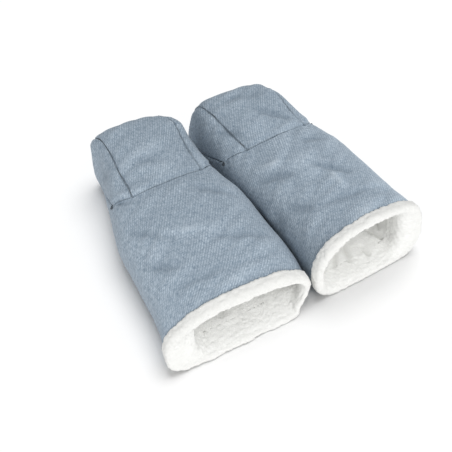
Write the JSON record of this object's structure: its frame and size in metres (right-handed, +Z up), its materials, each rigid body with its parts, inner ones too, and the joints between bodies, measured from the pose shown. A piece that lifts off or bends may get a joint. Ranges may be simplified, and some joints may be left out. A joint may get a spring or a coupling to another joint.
{
  "type": "stroller hand muffs",
  "caption": "Padded hand muffs for a pushchair handlebar: sleeves with fleece cuffs run into box hoods, each with a flap that closes under the bar with press studs.",
  "frame": {"origin": "middle of the pair's bounding box, on the ground plane that the soles rest on", "axes": "+X across the pair from the left muff to the right, +Y along the muffs from the fleece cuffs to the far ends of the hoods, +Z up"},
  "size_m": [0.3288, 0.2996, 0.0873],
  "materials": {
    "outer_cloth": "blue-grey melange twill, matt",
    "white_fleece": "white sherpa fleece with a short curled pile",
    "wadding": "polyester wadding",
    "dark_thread": "dark blue-grey bar tack",
    "stud_metal": "nickel-plated press studs"
  },
  "bodies": {
    "left_muff": {"left_sleeve_top_panel": "outer_cloth", "left_sleeve_under_panel": "outer_cloth", "left_sleeve_wadding": "wadding", "left_sleeve_lining": "white_fleece", "left_cuff_fleece": "white_fleece", "left_hood_top_panel": "outer_cloth", "left_hood_left_gusset": "outer_cloth", "left_hood_right_gusset": "outer_cloth", "left_hood_wadding": "wadding", "left_hood_lining": "white_fleece", "left_hood_hem_facing": "outer_cloth", "left_stud_socket_1": "stud_metal", "left_stud_socket_2": "stud_metal", "left_socket_cap_1": "stud_metal", "left_socket_cap_2": "stud_metal", "left_left_bar_tack": "dark_thread", "left_right_bar_tack": "dark_thread"},
    "left_flap": {"left_flap_outer": "outer_cloth", "left_flap_wadding": "wadding", "left_flap_lining": "white_fleece", "left_flap_tab": "outer_cloth", "left_stud_1": "stud_metal", "left_stud_2": "stud_metal", "left_stud_cap_1": "stud_metal", "left_stud_cap_2": "stud_metal"},
    "right_muff": {"right_sleeve_top_panel": "outer_cloth", "right_sleeve_under_panel": "outer_cloth", "right_sleeve_wadding": "wadding", "right_sleeve_lining": "white_fleece", "right_cuff_fleece": "white_fleece", "right_hood_top_panel": "outer_cloth", "right_hood_left_gusset": "outer_cloth", "right_hood_right_gusset": "outer_cloth", "right_hood_wadding": "wadding", "right_hood_lining": "white_fleece", "right_hood_hem_facing": "outer_cloth", "right_stud_socket_1": "stud_metal", "right_stud_socket_2": "stud_metal", "right_socket_cap_1": "stud_metal", "right_socket_cap_2": "stud_metal", "right_left_bar_tack": "dark_thread", "right_right_bar_tack": "dark_thread"},
    "right_flap": {"right_flap_outer": "outer_cloth", "right_flap_wadding": "wadding", "right_flap_lining": "white_fleece", "right_flap_tab": "outer_cloth", "right_stud_1": "stud_metal", "right_stud_2": "stud_metal", "right_stud_cap_1": "stud_metal", "right_stud_cap_2": "stud_metal"}
  },
  "joints": [
    {"name": "left_flap_hinge", "type": "hinge", "parent": "left_muff", "child": "left_flap", "pos_m": [-0.06019, 0.03477, 0], "axis": [-0.9998, 0.0209, 0], "range_deg": [0, 120]},
    {"name": "right_muff_slide", "type": "slide", "parent": "left_muff", "child": "right_muff", "axis": [1, 0, 0], "range_m": [0, 0.25]},
    {"name": "right_flap_hinge", "type": "hinge", "parent": "right_muff", "child": "right_flap", "pos_m": [0.08403, 0.03197, 0], "axis": [-0.9998, -0.0209, 0], "range_deg": [0, 120]}
  ]
}
